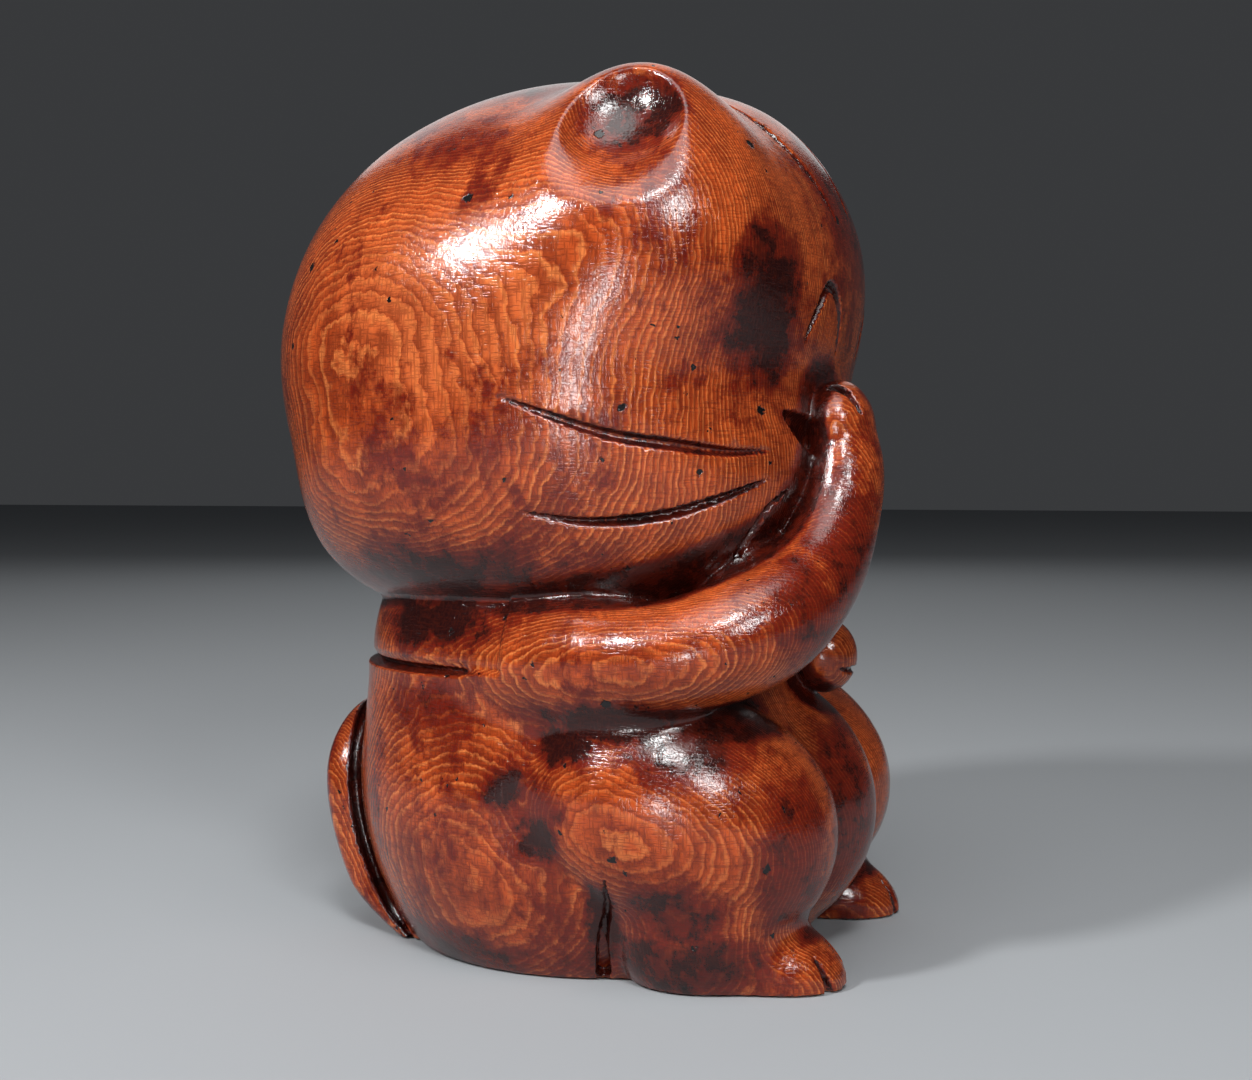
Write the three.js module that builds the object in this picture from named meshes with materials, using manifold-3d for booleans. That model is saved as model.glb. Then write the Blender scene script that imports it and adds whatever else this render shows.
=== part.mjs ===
// Sitting lucky cat, carved from one block of wood.
// Millimetres, +Z up. The cat looks along -Y, its right side is at -X, and it rests on z = 0.
// The forms are kept as shares of the figure's height, as a carver scales a pattern.

import * as THREE from "three";
import Module from "manifold-3d";
import { mergeVertices } from "three/addons/utils/BufferGeometryUtils.js";

const wasm = await Module();
wasm.setup();

// Driving dimensions
const HEIGHT = 140;            // from the flat underside to the crown
const PATTERN_SHARES = 140.8;  // the pattern divides that height into this many shares
const GOUGE_WIDTH = 1.9;       // widest part of a whisker, brow, eye or toe groove
const GOUGE_DEPTH = 1.1;       // depth of the same grooves
const COLLAR_CUT = 1.5;        // depth of the undercut below the collar
const TAIL_CUT = 2.8;          // depth of the slot between the tail's edge and the back
const TAIL_SLOT = 2.2;         // width of that slot
const BELL_DIAMETER = 10.8;
const BELL_SLIT = 1.2;
const CELLS_HIGH = 24;         // facet cells over the height
const LIMB_STEPS = 14;         // sections along an arm
const LIMB_SIDES = 10;
const GOUGE_STEPS = 7;
const GOUGE_SIDES = 4;

const shares = (n) => n * HEIGHT / PATTERN_SHARES;
const point = ([x, y, z]) => new THREE.Vector3(shares(x), shares(y), shares(z));
const curveThrough = (points) => new THREE.CatmullRomCurve3(points.map(point), false, "centripetal");

// Blends between forms, as signed distances: negative is inside the wood

function blend(a, b, softness) {
  const near = Math.max(softness - Math.abs(a - b), 0) / softness;
  return Math.min(a, b) - near * near * softness / 4;
}

// An egg: a ball with three radii, tilted nose-up, leant sideways or turned on the spot, in degrees
function egg(centre, radii, { tilt = 0, lean = 0, turn = 0 } = {}) {
  const angles = [tilt, lean, turn].map(THREE.MathUtils.degToRad);
  const turned = new THREE.Matrix4().makeRotationFromEuler(new THREE.Euler(...angles, "ZYX"));
  turned.setPosition(point(centre));
  const size = point(radii);
  const toLocal = turned.clone().invert();
  const local = new THREE.Vector3();
  const distance = (x, y, z) => {
    local.set(x, y, z).applyMatrix4(toLocal).divide(size);
    const reach = local.length();
    const slope = local.divide(size).length();
    return slope > 0 ? reach * (reach - 1) / slope : -size.x;
  };
  return { distance, turned, size };
}

// A smooth value between evenly spaced ones: catmull-rom on a list, wrapped or held at its ends
function smoothAt(list, place, wrapped) {
  const count = list.length;
  const whole = Math.floor(place);
  const part = place - whole;
  const pick = (i) => list[wrapped ? (i + count) % count : Math.min(Math.max(i, 0), count - 1)];
  const [a, b, c, d] = [pick(whole - 1), pick(whole), pick(whole + 1), pick(whole + 2)];
  return b + part / 2 * (c - a + part * (2 * a - 5 * b + 4 * c - d + part * (3 * (b - c) + d - a)));
}

// The head: a side template, given as radii from the back of the head over the crown, the brow and
// the chin, and rounded off sideways to a half width
function roundedTemplate(centre, radii, halfWidth, fullnessAt) {
  const middle = point(centre);
  const width = shares(halfWidth);
  const reach = radii.map(shares);
  return (x, y, z) => {
    const back = y - middle.y;
    const up = z - middle.z;
    const angle = Math.atan2(up, back);
    const place = (angle < 0 ? angle + 2 * Math.PI : angle) / (2 * Math.PI) * reach.length;
    const radius = smoothAt(reach, place, true);
    const fullness = fullnessAt(angle);
    const side = Math.pow(Math.abs(x) / width, fullness);
    const share = Math.pow(Math.pow(Math.hypot(back, up) / radius, fullness) + side, 1 / fullness);
    return share > 0 ? Math.hypot(x, back, up) * (1 - 1 / share) : -width;
  };
}

// The trunk: oval sections at evenly spaced heights, each with its middle and its two radii
function trunkThrough(bottom, spacing, sections) {
  const low = shares(bottom);
  const gap = shares(spacing);
  const [middles, sides, depths] = [0, 1, 2].map((k) => sections.map((row) => shares(row[k])));
  return (x, y, z) => {
    const place = Math.min(Math.max((z - low) / gap, 0), sections.length - 1);
    const side = smoothAt(sides, place, false);
    const depth = smoothAt(depths, place, false);
    const back = y - smoothAt(middles, place, false);
    const reach = Math.hypot(x / side, back / depth);
    const slope = Math.hypot(x / side / side, back / depth / depth);
    const wall = slope > 0 ? reach * (reach - 1) / slope : -side;
    return Math.max(wall, low - z, z - low - gap * (sections.length - 1));
  };
}

const jawFullness = (angle) => 2.3 - 0.3 * Math.sin(angle);
const skullRadii = [47.5, 46.4, 44.9, 43.6, 43.8, 45.8, 50.7, 50.8, 47.2, 42.9, 38.5, 37.2, 40.2, 48.4, 52.4, 48.2];
const skull = roundedTemplate([0, 9, 97], skullRadii, 46.5, jawFullness);
const cheek = egg([-22.5, -1, 75], [20.5, 32, 22.5], { turn: 8 });
const muzzle = egg([0, -21, 78], [25, 19, 14]);
const earRoot = egg([-27, -11, 112], [14, 18, 17], { lean: -14 });
const ear = egg([-25.5, -11.5, 119.5], [8.5, 13.2, 17.6], { lean: -8 });
const earCup = egg([-39, -12.6, 127.6], [5.6, 9.4, 12], { lean: 42 });
const nose = egg([0, -36.2, 85.5], [4.6, 4.4, 3.6]);

const trunk = trunkThrough(-6, 8, [[3, 28, 27], [3.1, 33.5, 34], [3.2, 37.2, 38.1], [3.6, 39, 40.2],
  [4.2, 39.1, 40.6], [5.2, 37.8, 39.1], [6.6, 36.5, 37], [7.4, 36.2, 36], [7, 34, 34], [6, 28, 30]]);
const belly = egg([0, -14.6, 22], [20, 27.5, 23.8]);
const knee = egg([-22.5, -22.3, 22], [16.5, 18.2, 18.2], { turn: 4 });
const thigh = egg([-27.5, -11.5, 27.5], [15.2, 19, 16.8], { turn: 4 });
const shin = egg([-26.5, -20, 8], [10.5, 13, 12]);
const foot = egg([-23, -27.7, 3.2], [9.2, 14.7, 7.9], { tilt: 14.5, turn: 1 });
const hipPit = egg([-46, 3.5, 24], [9, 7, 9.5]);
const shoulder = egg([-27, 2, 47.5], [13, 15, 9.5]);
const throat = egg([0, -8, 57], [29, 22.5, 9]);
const armRoot = egg([-19.5, -26, 58.5], [9.5, 8.5, 9]);

function headForm(x, y, z) {
  const near = -Math.abs(x);
  let form = skull(x, y, z);
  form = blend(form, cheek.distance(near, y, z), shares(10));
  form = blend(form, muzzle.distance(x, y, z), shares(8));
  form = blend(form, nose.distance(x, y, z), shares(3));
  form = blend(form, earRoot.distance(near, y, z), shares(12));
  return blend(form, ear.distance(near, y, z), shares(9));
}

function bodyForm(x, y, z) {
  const near = -Math.abs(x);
  let leg = blend(knee.distance(near, y, z), thigh.distance(near, y, z), shares(8));
  leg = blend(leg, shin.distance(near, y, z), shares(4));
  leg = blend(leg, foot.distance(near, y, z), shares(3));
  let form = blend(trunk(x, y, z), belly.distance(x, y, z), shares(1.5));
  form = -blend(-form, hipPit.distance(near, y, z), shares(3));
  form = blend(form, leg, shares(1.5));
  return blend(form, shoulder.distance(near, y, z), shares(4));
}

function wholeForm(x, y, z) {
  const neck = blend(throat.distance(x, y, z), armRoot.distance(x, y, z), shares(3));
  const body = blend(bodyForm(x, y, z), neck, shares(3));
  return blend(headForm(x, y, z), body, shares(1.5));
}

// From forms to facets

function slopeAt(form, p, step) {
  return new THREE.Vector3(
    form(p.x + step, p.y, p.z) - form(p.x - step, p.y, p.z),
    form(p.x, p.y + step, p.z) - form(p.x, p.y - step, p.z),
    form(p.x, p.y, p.z + step) - form(p.x, p.y, p.z - step)).divideScalar(2 * step);
}

// Moves a point along the form's slope until it lies on the surface
function settle(form, p, rounds = 4) {
  const step = shares(0.2);
  for (let round = 0; round < rounds; round += 1) {
    const slope = slopeAt(form, p, step);
    p.addScaledVector(slope, -form(p.x, p.y, p.z) / Math.max(slope.lengthSq(), 0.2));
  }
  return p;
}

// Walks a grid over the box; each cell that the surface crosses gets one corner point, and each grid
// edge that it crosses gets one four-sided facet between the four cells around that edge
function facetsOf(form, low, high, cell) {
  const counts = high.clone().sub(low).divideScalar(cell).ceil().addScalar(1);
  const [nx, ny, nz] = counts.toArray();
  const index = (i, j, k) => i + nx * (j + ny * k);
  const values = new Float64Array(nx * ny * nz);
  for (let k = 0; k < nz; k += 1) {
    for (let j = 0; j < ny; j += 1) {
      for (let i = 0; i < nx; i += 1) {
        values[index(i, j, k)] = form(low.x + i * cell, low.y + j * cell, low.z + k * cell);
      }
    }
  }
  const corners = [0, 1, 2, 3, 4, 5, 6, 7].map((n) => [n & 1, (n >> 1) & 1, n >> 2]);
  const edges = corners.flatMap((a, n) => corners.slice(n + 1)
    .filter((b) => a.reduce((sum, v, axis) => sum + Math.abs(v - b[axis]), 0) === 1)
    .map((b) => [a, b]));
  const vertexOf = new Map();
  const vertices = [];
  for (let k = 0; k < nz - 1; k += 1) {
    for (let j = 0; j < ny - 1; j += 1) {
      for (let i = 0; i < nx - 1; i += 1) {
        const sum = new THREE.Vector3();
        let crossings = 0;
        for (const [a, b] of edges) {
          const va = values[index(i + a[0], j + a[1], k + a[2])];
          const vb = values[index(i + b[0], j + b[1], k + b[2])];
          if (va < 0 !== vb < 0) {
            const t = va / (va - vb);
            sum.add(new THREE.Vector3(...a).lerp(new THREE.Vector3(...b), t));
            crossings += 1;
          }
        }
        if (crossings > 0) {
          const p = sum.divideScalar(crossings).add(new THREE.Vector3(i, j, k)).multiplyScalar(cell);
          vertexOf.set(index(i, j, k), vertices.length);
          vertices.push(settle(form, p.add(low)));
        }
      }
    }
  }
  const triangles = [];
  const addFacet = (cells, inward) => {
    const [a, b, c, d] = inward ? cells.toReversed() : cells;
    const short = vertices[a].distanceTo(vertices[c]) <= vertices[b].distanceTo(vertices[d]);
    triangles.push(...(short ? [a, b, c, a, c, d] : [b, c, d, b, d, a]));
  };
  const axes = [[0, 1, 2], [1, 2, 0], [2, 0, 1]];
  for (let k = 1; k < nz - 1; k += 1) {
    for (let j = 1; j < ny - 1; j += 1) {
      for (let i = 1; i < nx - 1; i += 1) {
        for (const [along, u, v] of axes) {
          const next = [i, j, k];
          next[along] += 1;
          const here = values[index(i, j, k)];
          const there = values[index(...next)];
          if (here < 0 !== there < 0) {
            const cells = [[0, 0], [1, 0], [1, 1], [0, 1]].map(([du, dv]) => {
              const cellAt = [i, j, k];
              cellAt[u] -= du;
              cellAt[v] -= dv;
              return vertexOf.get(index(...cellAt));
            });
            addFacet(cells, here >= 0);
          }
        }
      }
    }
  }
  const geometry = new THREE.BufferGeometry();
  geometry.setAttribute("position", new THREE.Float32BufferAttribute(vertices.flatMap((p) => p.toArray()), 3));
  geometry.setIndex(triangles);
  return geometry;
}

function solidOf(geometry) {
  const bare = geometry.clone();
  bare.deleteAttribute("normal");
  bare.deleteAttribute("uv");
  const merged = mergeVertices(bare, 1e-4);
  return new wasm.Manifold(new wasm.Mesh({
    numProp: 3,
    vertProperties: new Float32Array(merged.attributes.position.array),
    triVerts: new Uint32Array(merged.index.array),
  }));
}

// A ball of few facets, stretched and placed as the egg is
function eggSolid(form, across = 12, high = 8) {
  const geometry = new THREE.SphereGeometry(1, across, high);
  geometry.scale(...form.size.toArray()).applyMatrix4(form.turned);
  return solidOf(geometry);
}

// A rod along a curve, with its own half width and half height at each section, closed by its ends.
// upAt gives the direction in which the half height is measured.
function rodSolid(curve, steps, sides, widthAt, heightAt, upAt) {
  const vertices = [];
  const triangles = [];
  const ring = (step, side) => 1 + step * sides + side % sides;
  vertices.push(curve.getPoint(0));
  for (let step = 0; step <= steps; step += 1) {
    const t = step / steps;
    const middle = curve.getPoint(t);
    const ahead = curve.getTangent(t);
    const up = upAt(middle, t).projectOnPlane(ahead).normalize();
    const across = new THREE.Vector3().crossVectors(ahead, up);
    for (let side = 0; side < sides; side += 1) {
      const angle = side / sides * 2 * Math.PI;
      vertices.push(middle.clone()
        .addScaledVector(across, Math.cos(angle) * widthAt(t))
        .addScaledVector(up, Math.sin(angle) * heightAt(t)));
    }
  }
  vertices.push(curve.getPoint(1));
  for (let side = 0; side < sides; side += 1) {
    triangles.push(0, ring(0, side), ring(0, side + 1));
    triangles.push(vertices.length - 1, ring(steps, side + 1), ring(steps, side));
    for (let step = 0; step < steps; step += 1) {
      const [a, b] = [ring(step, side), ring(step, side + 1)];
      const [c, d] = [ring(step + 1, side + 1), ring(step + 1, side)];
      triangles.push(a, d, b, b, d, c);
    }
  }
  const geometry = new THREE.BufferGeometry();
  geometry.setAttribute("position", new THREE.Float32BufferAttribute(vertices.flatMap((p) => p.toArray()), 3));
  geometry.setIndex(triangles);
  return solidOf(geometry);
}

// An arm: a rod whose radii follow its points, spread sideways towards the paw, with a rounded end
function armSolid(points, radii, spread) {
  const curve = curveThrough(points);
  const reach = radii.map(shares);
  const roundEnd = (t) => Math.sqrt(Math.max(0.04, 1 - Math.pow(Math.max(0, (t - 0.93) / 0.07), 2)));
  const radiusAt = (t) => smoothAt(reach, t * (reach.length - 1), false) * roundEnd(t);
  const sideways = () => new THREE.Vector3(1, 0, 0);
  return rodSolid(curve, LIMB_STEPS, LIMB_SIDES, radiusAt, (t) => radiusAt(t) * (1 + spread * t), sideways);
}

const pointedEnds = (t) => 0.12 + 0.88 * Math.pow(Math.sin(Math.PI * Math.min(t, 1)), 0.6);
const openFoot = (t) => 0.2 + 0.8 * t;

// A gouge stroke: a slim lens-shaped rod sunk into the surface that it follows
function gougeStroke(form, points, { width = GOUGE_WIDTH, depth = GOUGE_DEPTH, taper = pointedEnds,
  steps = GOUGE_STEPS, sides = GOUGE_SIDES } = {}) {
  const through = (list) => new THREE.CatmullRomCurve3(list.map((p) => settle(form, p)), false, "centripetal");
  const seated = through(through(points.map(point)).getPoints(steps));
  const outward = (p) => slopeAt(form, p, shares(0.2)).normalize();
  return rodSolid(seated, steps, sides, (t) => width / 2 * taper(t), (t) => depth * taper(t), outward);
}

// The raised right arm, with its paw before the mouth, and the left arm, resting on the thigh
const raisedArm = armSolid([[-27, 4, 48], [-34.5, -8, 48.5], [-34.5, -21, 49.5], [-28, -32, 54.5],
  [-19.5, -37.5, 62.5], [-14.5, -39.6, 71.5], [-12.2, -39.7, 80], [-11.4, -38.4, 89]],
  [6, 8, 8.4, 8.8, 7.6, 6.4, 5.8, 4.6], 0.25);
const loweredArm = armSolid([[28, 4, 49], [34.5, -1, 47.5], [38, -7, 44.5], [38.5, -17, 40]],
  [6, 7.6, 7, 5.8], 0);
const raisedPaw = egg([-11.8, -38.9, 83.2], [7, 5.3, 6.6]);
const loweredPaw = egg([38.3, -16, 40.8], [5.4, 6.4, 5.4]);

// The bell under the chin
const bell = egg([0, -33.8, 46.5], [1, 1, 1]);
bell.size.set(BELL_DIAMETER / 2, BELL_DIAMETER / 2, BELL_DIAMETER * 0.56);

// The tail: a broad strap laid up the back, as a loft of arcs that follow the trunk
const tailTop = 38;
const tailBend = 20;
const tailSections = 9;
const tailShare = (z) => Math.min(Math.max((z - tailBend) / (tailTop - tailBend), 0), 1);
const tailHalf = (z) => 17 * Math.sqrt(1 - Math.pow(tailShare(z), 2.2)) + 3 * Math.exp(-Math.max(z, 0) / 6);
const tailTaper = (z) => 0.4 + 0.6 * THREE.MathUtils.smoothstep(z, -3, 8);
const tailRise = (z) => 6.8 * Math.pow(1 - Math.pow(tailShare(z), 3), 0.6) * tailTaper(z);
const onBack = (x, z, rise) => {
  const seat = settle((a, b) => trunk(a, b, shares(z)), point([x, 44, z]));
  return [seat.x, seat.y + shares(rise), shares(z)];
};

function strapSolid(rise, half, low, high, depth) {
  const columns = 8;
  const vertices = [];
  const triangles = [];
  const layers = tailSections + 1;
  for (let layer = 0; layer < layers; layer += 1) {
    const z = low + (high - low) * layer / tailSections;
    for (let face = 0; face < 2; face += 1) {
      for (let column = 0; column <= columns; column += 1) {
        const x = half(z) * (2 * column / columns - 1);
        vertices.push(onBack(x, z, face === 0 ? -depth : rise(z)));
      }
    }
  }
  const at = (layer, face, column) => (layer * 2 + face) * (columns + 1) + column;
  const quad = (a, b, c, d) => triangles.push(a, b, c, a, c, d);
  for (let layer = 0; layer < layers - 1; layer += 1) {
    for (let column = 0; column < columns; column += 1) {
      quad(at(layer, 1, column + 1), at(layer, 1, column), at(layer + 1, 1, column), at(layer + 1, 1, column + 1));
      quad(at(layer, 0, column), at(layer, 0, column + 1), at(layer + 1, 0, column + 1), at(layer + 1, 0, column));
    }
    quad(at(layer, 1, 0), at(layer, 0, 0), at(layer + 1, 0, 0), at(layer + 1, 1, 0));
    quad(at(layer, 0, columns), at(layer, 1, columns), at(layer + 1, 1, columns), at(layer + 1, 0, columns));
  }
  for (let column = 0; column < columns; column += 1) {
    const top = layers - 1;
    quad(at(0, 0, column + 1), at(0, 0, column), at(0, 1, column), at(0, 1, column + 1));
    quad(at(top, 0, column), at(top, 0, column + 1), at(top, 1, column + 1), at(top, 1, column));
  }
  const geometry = new THREE.BufferGeometry();
  geometry.setAttribute("position", new THREE.Float32BufferAttribute(vertices.flat(), 3));
  geometry.setIndex(triangles);
  return solidOf(geometry);
}

// The slot behind each side edge of the tail, from the ground up to where the tail rounds off
function tailSlot() {
  const path = [-3, 5, 12, 19, 26, 32, 35].map((z) => new THREE.Vector3(...onBack(-tailHalf(z), z, 1.1)));
  const curve = new THREE.CatmullRomCurve3(path, false, "centripetal");
  const outward = (p) => slopeAt(trunk, p, shares(0.2));
  return rodSolid(curve, 9, 6, () => TAIL_CUT, (t) => TAIL_SLOT / 2 * (1 - 0.4 * t), outward);
}

// Strokes of the gouge on the near side, each mirrored to the far side
const headStrokes = [
  // whiskers
  [[-46.1, 4.5, 87], [-42.4, -11.5, 81.4], [-38.5, -19.4, 80], [-27, -31.5, 79.1]],
  [[-43.2, 1.4, 70.3], [-41.1, -8, 68.8], [-37.2, -19, 69.8], [-26.8, -31.5, 75.1]],
  [[-26, -23.2, 60.8], [-27, -27.3, 65.3], [-26.1, -30.7, 70.2], [-23.1, -33.2, 73.2]],
  // side grooves of the brow
  [[-9, -37.5, 115], [-11, -35, 120.5], [-14, -30, 126.5], [-16, -22, 132], [-17, -14, 135]],
  // closed, laughing eye
  [[-19.5, -35, 95.5], [-17.4, -36.5, 100], [-13.6, -38, 104.5], [-9.6, -39, 101], [-7.6, -39, 94]],
];
const browCentre = [[0, -40, 118], [0, -35, 124], [0, -29, 130], [0, -20, 135], [0, -12, 138]];
const mouthLine = [[-23.5, -32.8, 84.8], [-14, -38, 79.8], [0, -40, 77.8], [14, -38, 79.8], [23.5, -32.8, 84.8]];
const legCrease = [[-40, -10, 17], [-37.5, -9.3, 12], [-35, -8.2, 6], [-33.5, -7.5, -1]];
const toeGrooves = [
  [[-27.6, -38.2, 5.4], [-27.5, -39.8, 3], [-26.9, -40.9, -0.5]],
  [[-21.8, -39.2, 7], [-21.5, -40.8, 4], [-21.3, -42, -0.5]],
];
const collarBottom = 45.6;
const collarBack = [10, 22, 34, 42.5, 34, 22, 10].map((y, i) => [[-39, -32, -20, 0, 20, 32, 39][i], y, collarBottom]);
const collarEdge = [[-38.4, 6.4, 55], [-39.8, 6.6, 52], [-40.4, 7.2, 49]];
const bellSlit = [[-4.6, -37.6, 44.4], [0, -40, 43.9], [4.6, -37.6, 44.4]];
const pawStrokes = [-15.8, -9.6].map((x) => [[x, -36, 90], [x, -40.5, 88.5], [x, -43, 84.5]]);
const loweredStrokes = [36.4, 40.4].map((x) => [[x, -18, 45], [x, -22, 42.5], [x, -22.5, 39]]);

function carvedCat() {
  const low = point([-61, -60, -16]);
  const high = point([60, 66, 146]);
  const strokes = [];
  const cutBoth = (solid) => strokes.push(solid, solid.mirror([1, 0, 0]));
  let cat = solidOf(facetsOf(wholeForm, low, high, HEIGHT / CELLS_HIGH));
  cat = cat.subtract(gougeStroke(headForm, mouthLine, { width: shares(9), depth: shares(3), steps: 12, sides: 8 }));
  const tail = strapSolid(tailRise, tailHalf, -3, tailTop - 0.4, 5);
  for (const added of [raisedArm, eggSolid(raisedPaw), loweredArm, eggSolid(loweredPaw), tail, eggSolid(bell)]) {
    cat = cat.add(added);
  }
  cutBoth(eggSolid(earCup));
  cutBoth(tailSlot());
  headStrokes.forEach((points) => cutBoth(gougeStroke(headForm, points)));
  strokes.push(gougeStroke(headForm, browCentre));
  cutBoth(gougeStroke(bodyForm, legCrease, { width: shares(4.5), depth: shares(3.5), taper: openFoot }));
  toeGrooves.forEach((points) => cutBoth(gougeStroke(bodyForm, points, { taper: openFoot })));
  strokes.push(gougeStroke(bodyForm, collarBack, { depth: COLLAR_CUT, steps: 18 }));
  cutBoth(gougeStroke(bodyForm, collarEdge, { depth: GOUGE_DEPTH / 2 }));
  strokes.push(gougeStroke(bell.distance, bellSlit, { width: BELL_SLIT }));
  pawStrokes.forEach((points) => strokes.push(gougeStroke(raisedPaw.distance, points)));
  loweredStrokes.forEach((points) => strokes.push(gougeStroke(loweredPaw.distance, points)));
  for (const stroke of strokes) {
    cat = cat.subtract(stroke);
  }
  const ground = new THREE.BoxGeometry(shares(200), shares(200), shares(40));
  ground.translate(0, 0, -shares(20));
  return cat.subtract(solidOf(ground));
}

function geometryOf(solid) {
  const mesh = solid.getMesh();
  const geometry = new THREE.BufferGeometry();
  geometry.setAttribute("position", new THREE.BufferAttribute(new Float32Array(mesh.vertProperties), 3));
  geometry.setIndex(new THREE.BufferAttribute(new Uint32Array(mesh.triVerts), 1));
  geometry.computeVertexNormals();
  return geometry;
}

const varnishedWood = new THREE.MeshStandardMaterial({ color: "#8a3c17", roughness: 0.32, metalness: 0 });
const cat = new THREE.Mesh(geometryOf(carvedCat()), varnishedWood);
cat.name = "carved_cat";

const figurine = new THREE.Group();
figurine.name = "lucky_cat_figurine";
figurine.add(cat);

export default figurine;
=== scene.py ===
# %% [markdown]
# # A carved and varnished lucky cat
# The figurine is one block of wood: a sitting cat that laughs behind its raised right paw. This script
# builds that one piece as a smooth, finely carved mesh, and gives it the stained and varnished wood that a
# close photo shows. Everything is worked out in millimetres in the frame of the measured solid: the cat
# looks along -Y, its right side is at -X, and it stands on z = 0.

# %%
import math
from concurrent.futures import ThreadPoolExecutor
import bpy
import numpy as np
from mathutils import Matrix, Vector


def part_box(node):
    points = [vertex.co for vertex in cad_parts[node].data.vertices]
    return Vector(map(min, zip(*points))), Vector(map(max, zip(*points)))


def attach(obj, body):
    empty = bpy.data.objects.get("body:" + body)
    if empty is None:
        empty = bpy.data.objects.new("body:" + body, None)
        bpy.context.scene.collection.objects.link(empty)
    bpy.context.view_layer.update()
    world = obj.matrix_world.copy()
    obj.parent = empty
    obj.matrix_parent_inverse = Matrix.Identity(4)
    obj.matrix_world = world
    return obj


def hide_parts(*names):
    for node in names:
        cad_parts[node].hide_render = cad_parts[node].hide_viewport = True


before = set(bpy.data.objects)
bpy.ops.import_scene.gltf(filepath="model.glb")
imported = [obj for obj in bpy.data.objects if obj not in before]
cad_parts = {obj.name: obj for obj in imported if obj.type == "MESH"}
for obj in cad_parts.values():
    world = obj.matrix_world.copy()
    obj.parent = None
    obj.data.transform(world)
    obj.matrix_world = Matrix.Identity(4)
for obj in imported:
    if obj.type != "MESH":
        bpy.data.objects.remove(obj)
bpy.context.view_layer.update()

# %% [markdown]
# ## Blending forms
# A carver sees a figure as a few egg-like masses that run into each other. Each mass here is a signed
# distance: negative inside the wood, zero on its surface. Two masses are joined by the smaller distance,
# rounded where the two are nearly equal, so the joint gets the soft fillet that a sanded carving has.

# %%
HEIGHT = 140.0                                     # millimetres, ears to floor
SHARES = 140.8                                     # the pattern's own units over that height
UNIT = HEIGHT / SHARES / 1000                      # one pattern unit in metres
FAR = 30.0                                         # distance given to points outside a form's own box


def blend(a, b, softness):
    near = np.maximum(softness - np.abs(a - b), 0) / softness
    return np.minimum(a, b) - near * near * softness / 4


def carve(a, b, softness):
    return -blend(-a, b, softness)


def ease(value, start, end):
    t = np.clip((value - start) / (end - start), 0, 1)
    return t * t * (3 - 2 * t)


def turned_axes(tilt=0, lean=0, turn=0):
    a, b, c = (math.radians(v) for v in (tilt, lean, turn))
    rx = np.array([[1, 0, 0], [0, math.cos(a), -math.sin(a)], [0, math.sin(a), math.cos(a)]])
    ry = np.array([[math.cos(b), 0, math.sin(b)], [0, 1, 0], [-math.sin(b), 0, math.cos(b)]])
    rz = np.array([[math.cos(c), -math.sin(c), 0], [math.sin(c), math.cos(c), 0], [0, 0, 1]])
    return rz @ ry @ rx


def egg(centre, radii, **turns):
    axes = turned_axes(**turns)
    middle, size = np.array(centre, float), np.array(radii, float)

    def distance(p, mirrored=False):
        q = p * [-1, 1, 1] if mirrored else p
        local = (q - middle) @ axes / size
        reach = np.linalg.norm(local, axis=1)
        slope = np.linalg.norm(local / size, axis=1) + 1e-9
        return reach * (reach - 1) / slope
    return distance


def smooth_at(values, place, wrapped):
    values = np.asarray(values, float)
    whole = np.floor(place).astype(int)
    part = place - whole
    count = len(values)

    def pick(i):
        return values[i % count] if wrapped else values[np.clip(i, 0, count - 1)]
    a, b, c, d = pick(whole - 1), pick(whole), pick(whole + 1), pick(whole + 2)
    return b + part / 2 * (c - a + part * (2 * a - 5 * b + 4 * c - d + part * (3 * (b - c) + d - a)))


print("one pattern unit is", round(UNIT * 1000, 4), "mm")

# %% [markdown]
# ## The head
# The head is far bigger than the body. Its side outline comes from a template: radii around one centre,
# from the back of the head over the crown and the brow to the chin. It is rounded off sideways to half its
# width, fuller at the jaw than at the crown. Cheeks, muzzle, nose and the two ear humps are blended on.

# %%
HEAD_CENTRE = np.array([0.0, 9.0, 97.0])
HEAD_HALF_WIDTH = 46.5
HEAD_RADII = [47.5, 46.4, 44.9, 43.6, 43.8, 45.8, 50.7, 50.8, 47.2, 42.9, 38.5, 37.2, 40.2, 48.4, 52.4, 48.2]


def skull(p):
    back, up = p[:, 1] - HEAD_CENTRE[1], p[:, 2] - HEAD_CENTRE[2]
    angle = np.arctan2(up, back)
    radius = smooth_at(HEAD_RADII, (angle % (2 * math.pi)) / (2 * math.pi) * len(HEAD_RADII), True)
    fullness = 2.3 - 0.3 * np.sin(angle)
    side = (np.abs(p[:, 0]) / HEAD_HALF_WIDTH) ** fullness
    reach = (np.hypot(back, up) / radius) ** fullness
    share = np.maximum((side + reach) ** (1 / fullness), 1e-6)
    return np.sqrt(p[:, 0] ** 2 + back ** 2 + up ** 2) * (1 - 1 / share)


cheek = egg([-22.5, -1, 75], [20.5, 32, 22.5], turn=8)
muzzle = egg([0, -21, 78], [25, 19, 14])
ear_root = egg([-27, -11, 112], [14, 18, 17], lean=-14)
ear = egg([-25.5, -11.5, 119.5], [8.5, 13.2, 17.6], lean=-8)
ear_cup = egg([-42.3, -12.6, 128.8], [8.8, 12, 13.6], lean=45)
nose = egg([0, -36.2, 85.5], [4.6, 4.4, 3.6])


def near_side(p):
    q = p.copy()
    q[:, 0] = -np.abs(q[:, 0])
    return q


def head_form(p):
    q = near_side(p)
    form = blend(skull(p), cheek(q), 10)
    form = blend(form, muzzle(p), 8)
    form = blend(form, nose(p), 3)
    form = blend(form, ear_root(q), 12)
    form = blend(form, ear(q), 9)
    return carve(form, ear_cup(q), 5 - 4.4 * ease(p[:, 2], 117, 127))


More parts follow.
